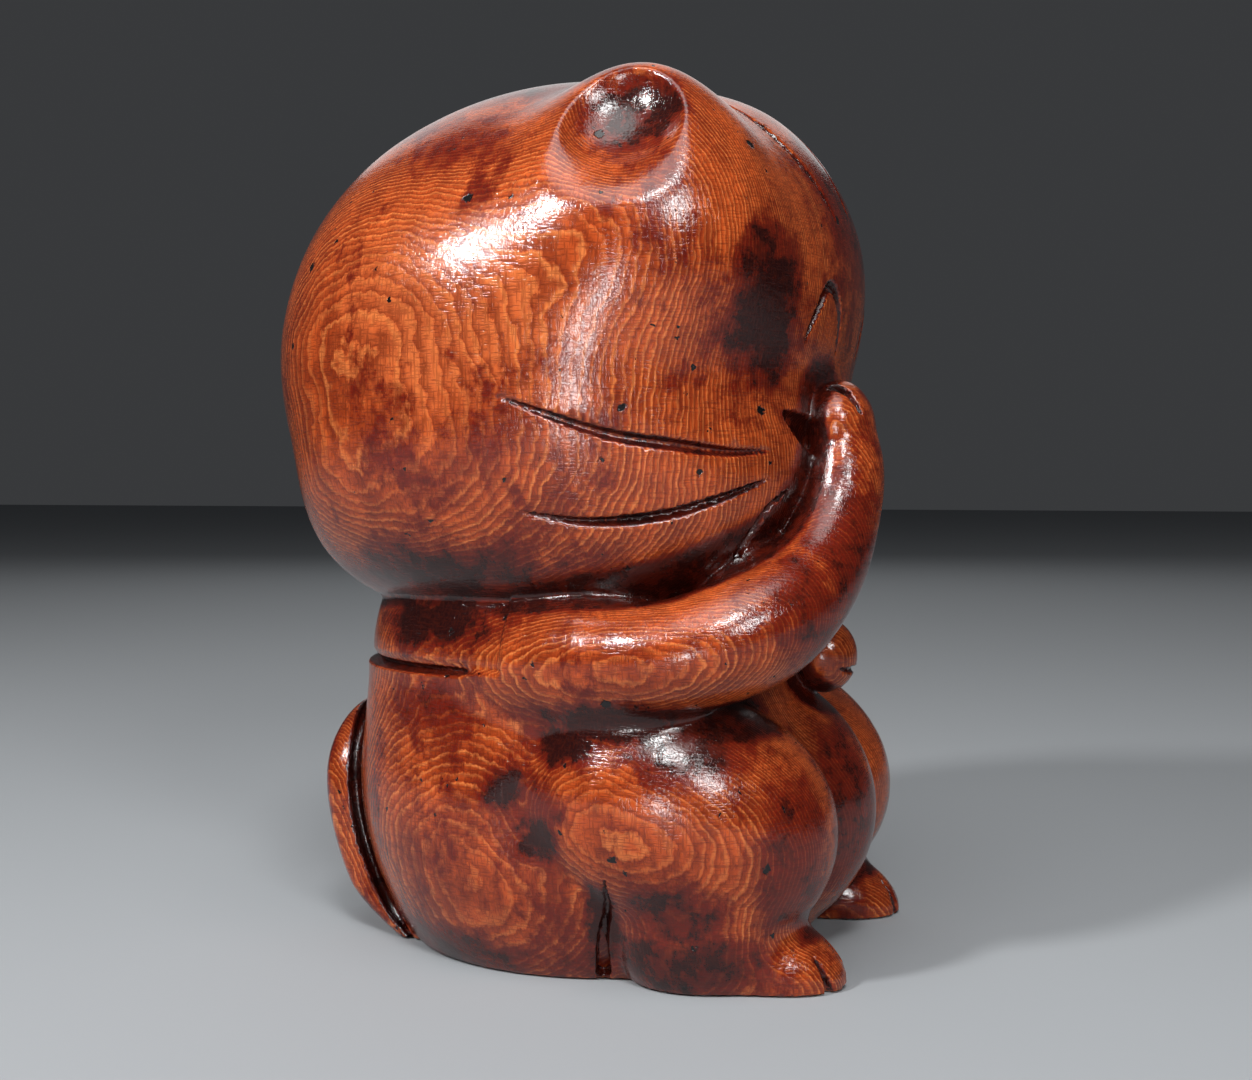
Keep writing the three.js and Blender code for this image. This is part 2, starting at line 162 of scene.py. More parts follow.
probe = np.array([[0.0, -60.0, 100.0], [0.0, 9.0, 97.0]])
print("a point in front of the face is", round(float(head_form(probe)[0]), 1), "units outside the head")

# %% [markdown]
# ## The body
# The trunk is a stack of ovals, each with its middle, half width and half depth. The belly bulges between
# the knees; knee, thigh, shin and foot are four eggs run together; a shallow pit behind the hip parts the
# haunch from the rump.

# %%
TRUNK_LOW, TRUNK_STEP = -6.0, 8.0
TRUNK = np.array([[3, 28, 27], [3.1, 33.5, 34], [3.2, 37.2, 38.1], [3.6, 39, 40.2], [4.2, 39.1, 40.6],
                  [5.2, 37.8, 39.1], [6.6, 36.5, 37], [7.4, 36.2, 36], [7, 34, 34], [6, 28, 30]])


def trunk(p):
    place = np.clip((p[:, 2] - TRUNK_LOW) / TRUNK_STEP, 0, len(TRUNK) - 1)
    middle, side, depth = (smooth_at(TRUNK[:, k], place, False) for k in range(3))
    back = p[:, 1] - middle
    reach = np.hypot(p[:, 0] / side, back / depth)
    slope = np.hypot(p[:, 0] / side ** 2, back / depth ** 2) + 1e-9
    wall = reach * (reach - 1) / slope
    top = TRUNK_LOW + TRUNK_STEP * (len(TRUNK) - 1)
    return np.maximum(wall, np.maximum(TRUNK_LOW - p[:, 2], p[:, 2] - top))


belly = egg([0, -14.6, 22], [20, 27.5, 23.8])
knee = egg([-22.5, -22.3, 22], [16.5, 18.2, 18.2], turn=4)
thigh = egg([-27.5, -11.5, 27.5], [15.2, 19, 16.8], turn=4)
shin = egg([-26.5, -20, 8], [10.5, 13, 12])
foot = egg([-23, -27.7, 3.2], [9.2, 14.7, 7.9], tilt=14.5, turn=1)
hip_pit = egg([-47.5, 3.5, 24], [8.5, 6.5, 10])
shoulder = egg([-27, 2, 47.5], [13, 15, 9.5])
throat = egg([0, -8, 57], [29, 22.5, 9])
arm_root = egg([-19.5, -26, 58.5], [9.5, 8.5, 9])


def body_form(p):
    q = near_side(p)
    leg = blend(knee(q), thigh(q), 8)
    leg = blend(leg, shin(q), 4)
    leg = blend(leg, foot(q), 3)
    form = blend(trunk(p), belly(p), 1.5)
    form = carve(form, hip_pit(q), 4)
    form = blend(form, leg, 1.2)
    return blend(form, shoulder(q), 4)


def neck_form(p):
    return blend(throat(p), arm_root(p), 3)


print("trunk of", len(TRUNK), "ovals, each", TRUNK_STEP, "units above the last")

# %% [markdown]
# ## Arms, bell and tail
# Each arm is a rod with a radius of its own at every point of a smooth path. The raised arm spreads sideways
# towards the paw that covers the mouth. The bell hangs under the chin. The tail is a broad strap laid up
# the back; a slot cut behind each of its side edges makes it stand free of the rump.

# %%


def path_points(points, steps):
    """Even steps along a smooth path through the points."""
    pts = np.asarray(points, float)
    knots = np.concatenate([[0], np.cumsum(np.sqrt(np.linalg.norm(np.diff(pts, axis=0), axis=1)))])
    ends = np.vstack([2 * pts[0] - pts[1], pts, 2 * pts[-1] - pts[-2]])
    t_ext = np.concatenate([[2 * knots[0] - knots[1]], knots, [2 * knots[-1] - knots[-2]]])
    out = []
    for t in np.linspace(knots[0], knots[-1], steps + 1):
        i = min(max(int(np.searchsorted(knots, t, side="right")), 1), len(pts) - 1)
        t0, t1, t2, t3 = t_ext[i - 1:i + 3]
        p0, p1, p2, p3 = ends[i - 1:i + 3]
        a1 = (t1 - t) / (t1 - t0) * p0 + (t - t0) / (t1 - t0) * p1
        a2 = (t2 - t) / (t2 - t1) * p1 + (t - t1) / (t2 - t1) * p2
        a3 = (t3 - t) / (t3 - t2) * p2 + (t - t2) / (t3 - t2) * p3
        b1 = (t2 - t) / (t2 - t0) * a1 + (t - t0) / (t2 - t0) * a2
        b2 = (t3 - t) / (t3 - t1) * a2 + (t - t1) / (t3 - t1) * a3
        out.append((t2 - t) / (t2 - t1) * b1 + (t - t1) / (t2 - t1) * b2)
    return np.array(out)


def nearest_on(p, path):
    """Distance to a path and the share of the way along it, for every point."""
    best = np.full(len(p), np.inf)
    along = np.zeros(len(p))
    for i in range(len(path) - 1):
        a, b = path[i], path[i + 1]
        t = np.clip((p - a) @ (b - a) / ((b - a) @ (b - a)), 0, 1)
        gap = np.linalg.norm(p - a - t[:, None] * (b - a), axis=1)
        closer = gap < best
        best[closer] = gap[closer]
        along[closer] = (i + t[closer]) / (len(path) - 1)
    return best, along


def inside_box(p, path, margin):
    return np.all((p > path.min(0) - margin) & (p < path.max(0) + margin), axis=1)


def rod(points, radii, spread=0.0, steps=28):
    path = path_points(points, steps)
    radii = np.asarray(radii, float)

    def at(place):
        return np.stack([smooth_at(path[:, k], place, False) for k in range(3)], 1)

    def distance(p):
        out = np.full(len(p), FAR)
        here = inside_box(p, path, radii.max() * (1 + spread) + 9)
        q = p[here]
        place = nearest_on(q, path)[1] * steps
        for _ in range(2):
            ahead = (at(np.minimum(place + 0.1, steps)) - at(np.maximum(place - 0.1, 0))) / 0.2
            place = np.clip(place + ((q - at(place)) * ahead).sum(1) / (ahead ** 2).sum(1), 0, steps)
        off = q - at(place)
        off[:, 0] /= 1 + spread * place / steps
        out[here] = np.linalg.norm(off, axis=1) - smooth_at(radii, place / steps * (len(radii) - 1), False)
        return out
    return distance


raised_arm = rod([[-27, 4, 48], [-34.5, -8, 48.5], [-34.5, -21, 49.5], [-28, -32, 54.5], [-19.5, -37.5, 62.5],
                  [-14.5, -39.6, 71.5], [-12.2, -39.7, 80], [-11.6, -38.6, 86.5]],
                 [6, 8, 8.4, 8.8, 7.6, 6.4, 5.8, 3.6], spread=0.25)
lowered_arm = rod([[28, 4, 49], [34.5, -1, 47.5], [38, -7, 44.5], [38.5, -14, 41]], [6, 7.6, 7, 5.4])
raised_paw = egg([-11.8, -38.9, 83.2], [7, 5.3, 6.6])
lowered_paw = egg([38.3, -16, 40.8], [5.4, 6.4, 5.4])
bell = egg([0, -33.8, 46.5], [5.4, 5.4, 6.05])

TAIL_TOP = 38.0                                    # height of the strap's rounded tip
TAIL_BEND = 20.0                                   # from here up the strap narrows to its tip
TAIL_HALF_WIDTH = 17
TAIL_THICKNESS = 6.8
TAIL_EDGE = 2.6                                    # roundness of the strap's side edges
SLOT_DEPTH = 2.6
SLOT_HALF_WIDTH = 1.1


def tail_half(z):
    share = np.clip((z - TAIL_BEND) / (TAIL_TOP - TAIL_BEND), 0, 1)
    return TAIL_HALF_WIDTH * np.sqrt(1 - share ** 2.2) + 3 * np.exp(-np.maximum(z, 0) / 6)


def tail_rise(z):
    share = np.clip((z - TAIL_BEND) / (TAIL_TOP - TAIL_BEND), 0, 1)
    return TAIL_THICKNESS * (1 - share ** 3) ** 0.6 * (0.4 + 0.6 * ease(z, -3, 8))


def tail(p):
    out = np.full(len(p), FAR)
    here = (p[:, 1] > 10) & (p[:, 2] < TAIL_TOP + 4)
    q = p[here]
    place = np.clip((q[:, 2] - TRUNK_LOW) / TRUNK_STEP, 0, len(TRUNK) - 1)
    middle, side, depth = (smooth_at(TRUNK[:, k], place, False) for k in range(3))
    back = middle + depth * np.sqrt(np.maximum(1 - (q[:, 0] / side) ** 2, 0.02))
    off = q[:, 1] - back
    strap = carve(off - tail_rise(q[:, 2]), -(np.abs(q[:, 0]) - tail_half(q[:, 2])), TAIL_EDGE)
    inner = np.maximum(tail_half(q[:, 2]) - SLOT_DEPTH - np.abs(q[:, 0]), 0)
    slot = np.hypot(off - SLOT_HALF_WIDTH, inner) - SLOT_HALF_WIDTH * ease(q[:, 2], -2, 5)
    out[here] = carve(np.maximum(strap, q[:, 2] - TAIL_TOP), slot, 0.7)
    return out


print("raised arm, lowered arm, two paws, bell and tail are ready")

# %% [markdown]
# ## Gouge strokes
# Whiskers, brow lines, eyes, toes, the crease behind the leg and the line under the collar are single strokes
# of a small gouge: pointed at both ends, crisp along their edges. A stroke here is a path laid on the
# surface. It lowers the surface next to it, most in its middle, by adding to the distance there.

# %%


def slope_at(form, p, step=0.25):
    return np.stack([form(p + step * e) - form(p - step * e) for e in np.eye(3)], 1) / (2 * step)


def settle(form, p, rounds=4):
    """Moves points along the form's slope until they lie on its surface."""
    p = np.array(p, float)
    for _ in range(rounds):
        slope = slope_at(form, p)
        p -= slope * (form(p) / np.maximum((slope ** 2).sum(1), 0.2))[:, None]
    return p


def pointed(t):
    return 0.05 + 0.95 * np.sin(np.pi * np.clip(t, 0, 1)) ** 0.6


def blunt(t):
    return np.minimum(1, 0.05 + 5 * np.sin(np.pi * np.clip(t, 0, 1))) ** 0.8


def open_foot(t):
    return 0.2 + 0.8 * t


def stroke(form, points, width=1.9, depth=1.5, taper=pointed, power=1.3, steps=26):
    path = settle(form, path_points(settle(form, points), steps))
    return path, width, depth, taper, power


def mirrored(made):
    path, *rest = made
    return (path * [-1, 1, 1], *rest)


def both(made):
    return [made, mirrored(made)]


print("a pointed stroke keeps", pointed(0.0), "of its depth at its ends and", pointed(0.5), "in its middle")

# %% [markdown]
# ## Where the strokes run
# Each path is a handful of points read off the photo, laid on the surface of the mass that it is cut in.
# Strokes on the near side are mirrored to the far side; the mouth, the middle brow line, the line under the
# collar and the bell's slit are single. The paws have their own toe lines.

# %%
strokes = []
head_strokes = [
    [[-46.1, 4.5, 87], [-42.4, -11.5, 81.4], [-38.5, -19.4, 80], [-32.7, -26.8, 78.9], [-27, -31.5, 79.1]],
    [[-43.2, 1.4, 70.3], [-41.1, -8, 68.8], [-37.2, -19, 69.8], [-34.2, -24.2, 71.5], [-26.8, -31.5, 75.1]],
    [[-9, -37.5, 115], [-11, -35, 120.5], [-14, -30, 126.5], [-16, -22, 132], [-17, -14, 135]],
    [[-19.5, -35, 95.5], [-17.4, -36.5, 100], [-13.6, -38, 104.5], [-9.6, -39, 101], [-7.6, -39, 94]],
]
for points in head_strokes:
    strokes += both(stroke(head_form, points))
lowest_whisker = [[-26, -23.2, 60.8], [-27, -27.3, 65.3], [-26.1, -30.7, 70.2], [-23.1, -33.2, 73.2]]
strokes += both(stroke(head_form, lowest_whisker, width=1.3, depth=0.8))
strokes.append(stroke(head_form, [[0, -40, 118], [0, -35, 124], [0, -29, 130], [0, -20, 135], [0, -12, 138]]))
mouth = [stroke(head_form, [[-23.5, -32.8, 84.8], [-14, -38, 79.8], [0, -40, 77.8], [14, -38, 79.8],
                            [23.5, -32.8, 84.8]], width=9, depth=4, power=2)]
strokes += both(stroke(body_form, [[-40, -10, 17], [-37.5, -9.3, 12], [-35, -8.2, 6], [-33.5, -7.5, -1]],
                       width=2.6, depth=2.6, power=1.2, taper=open_foot))
for points in ([[-27.6, -38.2, 5.4], [-27.5, -39.8, 3], [-26.9, -40.9, -0.5]],
               [[-21.8, -39.2, 7], [-21.5, -40.8, 4], [-21.3, -42, -0.5]]):
    strokes += both(stroke(body_form, points, taper=open_foot))
around = [[-39, 10], [-32, 22], [-20, 34], [0, 42.5], [20, 34], [32, 22], [39, 10]]
strokes.append(stroke(body_form, [[x, y, 46.3] for x, y in around], width=2.6, depth=4, taper=blunt,
                      steps=60))
strokes.append(stroke(bell, [[-4.6, -37.6, 44.4], [0, -40, 43.9], [4.6, -37.6, 44.4]], width=1.4, depth=1.4))
for x in (-15.8, -9.6):
    strokes.append(stroke(raised_paw, [[x, -36, 90], [x, -40.5, 88.5], [x, -43, 84.5]], width=1.7))
for x in (36.4, 40.4):
    strokes.append(stroke(lowered_paw, [[x, -18, 45], [x, -22, 42.5], [x, -22.5, 39]], width=1.7))
print(len(strokes), "gouge strokes, counting both sides")

# %% [markdown]
# ## The whole cat
# All masses are joined here, with a fillet of its own at each joint. The mouth is cut in the head before the
# paw is laid before it, all other strokes are cut last, and the underside is sawn flat.

# %%
COLLAR_RECESS = 0.9


def cut_depth(p, form, strokes):
    cut = np.zeros(len(p))
    close = np.abs(form) < 6
    for path, width, depth, taper, power in strokes:
        here = close & inside_box(p, path, width)
        if here.any():
            gap, along = nearest_on(p[here], path)
            lateral = np.sqrt(np.maximum(gap ** 2 - form[here] ** 2, 0))
            half = width / 2 * taper(along)
            section = 1 - np.minimum(lateral / half, 1) ** power
            cut[here] = np.maximum(cut[here], depth * taper(along) * section)
    return cut


def carved_form(p):
    """The whole cat: the collar band is a shallow recess that ends at the shoulders."""
    band = ease(p[:, 1], 5.8, 6.8) * ease(p[:, 2], 45.8, 46.6)
    body = blend(body_form(p), neck_form(p), 3) + COLLAR_RECESS * band
    body = blend(body, raised_arm(p), 1.5 + 7 * np.clip((p[:, 1] + 26) / 20, 0, 1))
    body = blend(body, lowered_arm(p), 3)
    head = head_form(p)
    head = head + cut_depth(p, head, mouth)
    paws = np.minimum(raised_paw(p), lowered_paw(p))
    form = blend(blend(head, body, 1), paws, 1)
    form = blend(np.minimum(form, tail(p)), bell(p), 0.6)
    return np.maximum(form + cut_depth(p, form, strokes), -p[:, 2])


probe = np.array([[0.0, 0.0, 30.0]])
print("a point in the middle of the trunk lies", round(-float(carved_form(probe)[0]), 1), "units deep")

# %% [markdown]
# ## From the forms to a skin
# The forms are sampled on a fine grid, only near their surface. Every grid cell that the surface crosses
# gets one vertex, moved onto the surface along its slope, and the cells around each crossed grid edge
# share one four-sided facet.

# %%
CELL = 0.62
BLOCK = 8                                          # cells along one side of a block
CORNER_REACH = 0.87                                # from a block's middle to its corner, in block sides
STEEPEST = 1.7                                     # the most that a form grows over one unit
CUT_REACH = 3                                      # how far the strokes can move the surface


def evaluate(form, p, chunk=60000):
    parts = [p[i:i + chunk] for i in range(0, len(p), chunk)]
    with ThreadPoolExecutor(4) as pool:
        return np.concatenate(list(pool.map(form, parts)))


def skin_of(form, low, high, cell):
    blocks = np.ceil((np.array(high) - low) / (cell * BLOCK)).astype(int)
    centres = [low[k] + (np.arange(blocks[k]) + 0.5) * cell * BLOCK for k in range(3)]
    coarse = evaluate(form, np.stack(np.meshgrid(*centres, indexing="ij"), -1).reshape(-1, 3)).reshape(blocks)
    near = np.abs(coarse) < cell * BLOCK * CORNER_REACH * STEEPEST + CUT_REACH
    grown = near.copy()
    for axis in range(3):
        for shift in (-1, 1):
            grown |= np.roll(near, shift, axis)
    values = coarse
    wanted = grown
    for axis in range(3):
        values = values.repeat(BLOCK, axis)
        wanted = wanted.repeat(BLOCK, axis)
    index = np.argwhere(wanted)
    values[tuple(index.T)] = evaluate(form, low + index * cell)
    inside = values < 0
    corners = [(n & 1, (n >> 1) & 1, n >> 2) for n in range(8)]
    n = np.array(values.shape) - 1
    count = sum(inside[a:n[0] + a, b:n[1] + b, c:n[2] + c].astype(np.uint8) for a, b, c in corners)
    cells = np.argwhere((count > 0) & (count < 8))
    number = np.full(values.shape, -1)
    number[tuple(cells.T)] = np.arange(len(cells))
    total, crossings = np.zeros((len(cells), 3)), np.zeros(len(cells))
    for a in corners:
        for b in corners:
            if b > a and sum(abs(i - j) for i, j in zip(a, b)) == 1:
                va, vb = values[tuple((cells + a).T)], values[tuple((cells + b).T)]
                crossed = (va < 0) != (vb < 0)
                t = np.where(crossed, va / np.where(crossed, va - vb, 1), 0)
                total += crossed[:, None] * (np.array(a) + t[:, None] * (np.array(b) - a))
                crossings += crossed
    vertices = low + (cells + total / crossings[:, None]) * cell
    facets = []
    for axis, u, v in ((0, 1, 2), (1, 2, 0), (2, 0, 1)):
        step = np.eye(3, dtype=int)
        here = inside[1:-1, 1:-1, 1:-1]
        ahead = inside[tuple(slice(1 + step[axis][k], inside.shape[k] - 1 + step[axis][k]) for k in range(3))]
        edges = np.argwhere(here != ahead) + 1
        round_edge = ((0, 0), (1, 0), (1, 1), (0, 1))
        loop = [number[tuple((edges - du * step[u] - dv * step[v]).T)] for du, dv in round_edge]
        quad = np.stack(loop, 1)
        outward = inside[tuple(edges.T)]
        facets.append(np.where(outward[:, None], quad, quad[:, ::-1]))
    return vertices, np.concatenate(facets)


def settled_on_surface(form, p, step=0.15, rounds=2):
    for _ in range(rounds):
        value = evaluate(form, p)
        slope = np.stack([evaluate(form, p + step * e) - value for e in np.eye(3)], 1) / step
        move = slope * (value / np.maximum((slope ** 2).sum(1), 0.3))[:, None]
        p = p - np.clip(move, -CELL * 0.6, CELL * 0.6)
    return p


low_corner = np.array([-49.0, -49.5, -1.5])
vertices, facets = skin_of(carved_form, low_corner, np.array([49.0, 59.0, 143.0]), CELL)
vertices = settled_on_surface(carved_form, vertices)
vertices[:, 2] = np.maximum(vertices[:, 2], 0)
print(len(vertices), "vertices and", len(facets), "facets before thinning")

# %% [markdown]
# ## Thinning the skin
# The raw skin becomes a mesh and is thinned where it is smooth, which leaves the small triangles to the
# grooves.

# %%
TRIANGLES = 185000


def mesh_from(name, points, faces):
    mesh = bpy.data.meshes.new(name)
    mesh.vertices.add(len(points))
    mesh.vertices.foreach_set("co", points.astype(np.float32).ravel())
    sides = faces.shape[1]
    mesh.loops.add(faces.size)
    mesh.loops.foreach_set("vertex_index", faces.astype(np.int32).ravel())
    mesh.polygons.add(len(faces))
    mesh.polygons.foreach_set("loop_start", np.arange(0, faces.size, sides, dtype=np.int32))
    mesh.update(calc_edges=True)
    mesh.validate()
    return mesh


dense = bpy.data.objects.new("dense_skin", mesh_from("dense_skin", vertices, facets))
bpy.context.scene.collection.objects.link(dense)
thin = dense.modifiers.new("thin", "DECIMATE")
thin.ratio = min(1, TRIANGLES / (2 * len(facets)))
thinned = bpy.data.meshes.new_from_object(dense.evaluated_get(bpy.context.evaluated_depsgraph_get()))
points = np.empty(len(thinned.vertices) * 3, np.float32)
thinned.vertices.foreach_get("co", points)
points = points.reshape(-1, 3).astype(float)
thinned.calc_loop_triangles()
triangles = np.empty(len(thinned.loop_triangles) * 3, np.int32)
thinned.loop_triangles.foreach_get("vertices", triangles)
triangles = triangles.reshape(-1, 3)
bpy.data.objects.remove(dense)
print(len(triangles), "triangles after thinning")

# %% [markdown]
# ## Normals and hollows
# Shading normals are taken from the forms themselves, so the varnish reflects a smooth surface and not
# the triangles. Each vertex is also told how deep in a hollow it lies: a few steps outward along the
# normal, the distance to the wood is compared with the length of the step. The dark stain and a painted shade
# sit there.

# %%


def normals_of(form, p, step=0.22):
    slope = np.stack([evaluate(form, p + step * e) - evaluate(form, p - step * e) for e in np.eye(3)], 1)
    return slope / np.maximum(np.linalg.norm(slope, axis=1), 1e-6)[:, None]


def hollow_at(form, p, normal, reach):
    open_share = evaluate(form, p + normal * reach) / reach
    return np.clip(1 - open_share, 0, 1)


normals = normals_of(carved_form, points)
wide_hollow = (hollow_at(carved_form, points, normals, 5) + hollow_at(carved_form, points, normals, 12)) / 2
fine_hollow = (hollow_at(carved_form, points, normals, 0.8) + hollow_at(carved_form, points, normals, 2)) / 2
solid_low, solid_high = (np.array(corner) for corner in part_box("carved_cat"))
cat_mesh = mesh_from("carved_cat_skin", np.clip(points * UNIT, solid_low, solid_high), triangles)
for attribute, values in (("wide_hollow", wide_hollow), ("fine_hollow", fine_hollow)):
    layer = cat_mesh.attributes.new(attribute, "FLOAT", "POINT")
    layer.data.foreach_set("value", values.astype(np.float32))
cat_mesh.polygons.foreach_set("use_smooth", np.ones(len(triangles), bool))
cat_mesh.normals_split_custom_set_from_vertices(normals.astype(np.float32))
cat = bpy.data.objects.new("carved_wood_cat", cat_mesh)
bpy.context.scene.collection.objects.link(cat)
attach(cat, "root")
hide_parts("carved_cat")
print("deepest wide hollow", round(float(wide_hollow.max()), 2))
print("deepest fine hollow", round(float(fine_hollow.max()), 2))

# %% [markdown]
# ## Tools for the material
# Short names for the shader nodes that the wood needs: sums, noises, soft steps, colour mixes and the two
# hollows kept on the skin. A plain number goes straight into its socket; a socket is linked.

# %%
wood = bpy.data.materials.new("varnished_wood")
wood.use_nodes = True
nodes, links = wood.node_tree.nodes, wood.node_tree.links
nodes.clear()


def feed(socket, value):
    if isinstance(value, bpy.types.NodeSocket):
        links.new(value, socket)
    elif isinstance(value, (tuple, list)) and len(socket.default_value) == 4 and len(value) == 3:
        socket.default_value = (*value, 1)
    else:
        socket.default_value = value


def calc(operation, *values, clamp=False):
    node = nodes.new("ShaderNodeMath")
    node.operation, node.use_clamp = operation, clamp
    for socket, value in zip(node.inputs, values):
        feed(socket, value)
    return node.outputs[0]


def vector_calc(operation, *values):
    node = nodes.new("ShaderNodeVectorMath")
    node.operation = operation
    for socket, value in zip(node.inputs, values):
        feed(socket, value)
    return node.outputs["Value" if operation in ("LENGTH", "DOT_PRODUCT") else "Vector"]


def noise(place, scale, detail=2.0, roughness=0.5, colour=False):
    node = nodes.new("ShaderNodeTexNoise")
    for name, value in (("Vector", place), ("Scale", scale), ("Detail", detail), ("Roughness", roughness)):
        feed(node.inputs[name], value)
    return node.outputs["Color" if colour else "Fac"]


def remap(value, low_in, high_in, low_out=0.0, high_out=1.0, smooth=True):
    node = nodes.new("ShaderNodeMapRange")
    node.interpolation_type = "SMOOTHSTEP" if smooth else "LINEAR"
    for socket, given in zip(node.inputs, (value, low_in, high_in, low_out, high_out)):
        feed(socket, given)
    return node.outputs[0]


def mix_colour(share, a, b, how="MIX"):
    node = nodes.new("ShaderNodeMix")
    node.data_type, node.blend_type = "RGBA", how
    node.clamp_factor = True
    for name, value in (("Factor_Float", share), ("A_Color", a), ("B_Color", b)):
        feed(next(s for s in node.inputs if s.identifier == name), value)
    return next(s for s in node.outputs if s.identifier == "Result_Color")


def kept(name):
    node = nodes.new("ShaderNodeAttribute")
    node.attribute_name = name
    return node.outputs["Fac"]


print("the material tools are ready for", wood.name)

# %% [markdown]
# ## The wood under the stain
# The block comes from a thick log whose pith runs upright, far beyond the cat's left side. So the growth
# rings are wide, slightly wavy shells less than half a millimetre apart, and wherever the carved
# surface lies flat to a shell its edge closes into an eye: behind the cheek, on the rump and on the haunch.
# Each ring is a thin pale line that fades into brown. The pattern is a function of the point in the wood,
# so it runs on through head, arm and foot as it does in the real block.

# %%
place = vector_calc("SCALE", nodes.new("ShaderNodeTexCoord").outputs["Object"])
place.node.inputs["Scale"].default_value = 1000
split = nodes.new("ShaderNodeSeparateXYZ")
feed(split.inputs[0], place)
x, y, z = split.outputs

PITH = (80.0, -12.0)                               # millimetres, x and y
RING_GAP = 0.45                                    # millimetres between two shells
slow_wave = calc("MULTIPLY", calc("SUBTRACT", noise(place, 0.03, 2), 0.5), 2.6)
ripple = calc("MULTIPLY", calc("SUBTRACT", noise(place, 0.2, 2), 0.5), 0.8)
saw = calc("MULTIPLY", calc("SUBTRACT", noise(vector_calc("MULTIPLY", place, (1, 1, 0.5)), 1.1, 3), 0.5), 0.3)
across = vector_calc("MULTIPLY", vector_calc("SUBTRACT", place, (*PITH, 0)), (1, 1, 0))
flare = calc("ADD", calc("MULTIPLY", z, -0.22), calc("MULTIPLY", calc("MULTIPLY", z, z), 0.00098))
depth_in_log = calc("ADD", vector_calc("LENGTH", across), flare)
for wave in (slow_wave, ripple, saw):
    depth_in_log = calc("ADD", depth_in_log, wave)
ring = calc("FRACT", calc("DIVIDE", depth_in_log, RING_GAP))
pale_line = calc("MULTIPLY", remap(ring, 0.0, 0.16), remap(ring, 0.50, 0.16))
late_wood = remap(ring, 0.5, 1.0)
year = calc("FLOOR", calc("DIVIDE", depth_in_log, RING_GAP))
year_shade = nodes.new("ShaderNodeTexWhiteNoise")
year_shade.noise_dimensions = "1D"
feed(year_shade.inputs["W"], year)
print("ring shells", RING_GAP, "mm apart")

# %% [markdown]
# ## Stain, painted shade, pores and pits
# Red-brown stain was wiped over the raw wood. It stays thick in every recess, in soft clouds where the grain
# drinks more, and in the parts that the photo shows dark: each is an ellipsoid here, given as centre, radii
# and strength. The same dark also paints shade onto the wood: in the recesses, under the jaw and the chin,
# low along the floor and in the creases behind the hip and the leg. Fine pores run up the grain, crossed by
# short rays, and small black pits are scattered over it.

# %%


def cloud(centre, radii, hardness=0.25):
    """One inside a soft ellipsoid, zero outside it, with a ragged edge."""
    off = vector_calc("DIVIDE", vector_calc("SUBTRACT", place, centre), radii)
    ragged = calc("MULTIPLY", calc("SUBTRACT", noise(place, 0.16, 6, 0.68), 0.5), 1.1)
    return remap(calc("ADD", vector_calc("LENGTH", off), ragged), 1.1, hardness)


def deepest(first, *others):
    for other in others:
        first = calc("MAXIMUM", first, other)
    return first


# stain clouds and painted shade: the clouds under the jaw and the chin, low along the floor and in the hip
# and leg creases are painted shade
STAIN_AND_SHADE_PARTS = (
    ((-30, -33, 98), (14, 13, 21), 1.15), ((-16, 4, 139), (28, 36, 12), 0.85),
    ((0, -38, 118), (26, 20, 20), 0.8), ((-38, 24, 53), (23, 26, 7.5), 1.25),
    ((-30, 12, 61), (24, 36, 9), 1.05), ((-41, 6, 29), (7, 7, 8), 1.2),
    ((-41, 1, 22), (7, 7, 8), 1.2), ((-40, -3, 36), (8, 10, 6), 1.2),
    ((-42, 3, 26), (8, 11, 13), 0.9), ((-38, -11, 39.5), (9, 18, 6), 1.2),
    ((-37, -8.5, 8), (9, 4.5, 14), 1.15), ((-32, -36, 20), (12, 10, 24), 0.75),
    ((-34, -18, 4), (22, 28, 8), 0.95), ((-40, -20, 12), (12, 16, 9), 0.9),
    ((0, 50, 14), (26, 14, 36), 0.85), ((-34, 22, 2), (26, 32, 8), 0.95),
    ((-10, -40, 25), (20, 10, 30), 0.85), ((-24, -42, 66), (14, 9, 22), 0.8),
    ((-42, -14, 62), (12, 18, 5), 0.6), ((-44, -22, 88), (7, 9, 10), 0.6),
    ((-36, -13, 129), (11, 13, 10.5), 1.2), ((-46, 33, 84), (6, 6, 12), 0.35),
    ((0, -20, 55), (34, 24, 9), 0.9), ((0, 5, 22), (62, 62, 40), 0.5), ((-38, 24, 40), (16, 22, 10), 0.75),
    ((-34, 16, 126), (14, 16, 11), 0.6), ((-30, -36, 56), (14, 13, 13), 0.85),
    ((-36, -20, 36), (12, 16, 9), 1.0))
wide_hollow, fine_hollow = kept("wide_hollow"), kept("fine_hollow")
drinking = remap(noise(vector_calc("MULTIPLY", place, (1, 1, 0.5)), 0.075, 7, 0.66), 0.455, 0.62)
mottle = remap(noise(place, 0.3, 6, 0.7), 0.42, 0.68)
tone = remap(noise(vector_calc("MULTIPLY", place, (1, 1, 0.6)), 0.16, 5, 0.62), 0.36, 0.64)
# recesses get pooled stain and painted shade together
recess = remap(calc("ADD", wide_hollow, calc("MULTIPLY", fine_hollow, 0.5)), 0.16, 0.62)
stain_and_shade_clouds = deepest(*(calc("MULTIPLY", cloud(centre, radii), weight) for centre, radii, weight in STAIN_AND_SHADE_PARTS))
# the mask of stain and painted shade
stain_and_shade = deepest(recess, stain_and_shade_clouds, calc("MULTIPLY", drinking, 0.56))
stain_and_shade = calc("ADD", stain_and_shade, calc("MULTIPLY", calc("SUBTRACT", mottle, 0.4), 0.35), clamp=True)
pores = noise(vector_calc("MULTIPLY", place, (1, 1, 0.07)), 3.2, 3, 0.6)
rays = noise(vector_calc("MULTIPLY", place, (0.12, 0.12, 1)), 3.6, 2, 0.6)
grain = remap(calc("MINIMUM", pores, rays), 0.38, 0.52)


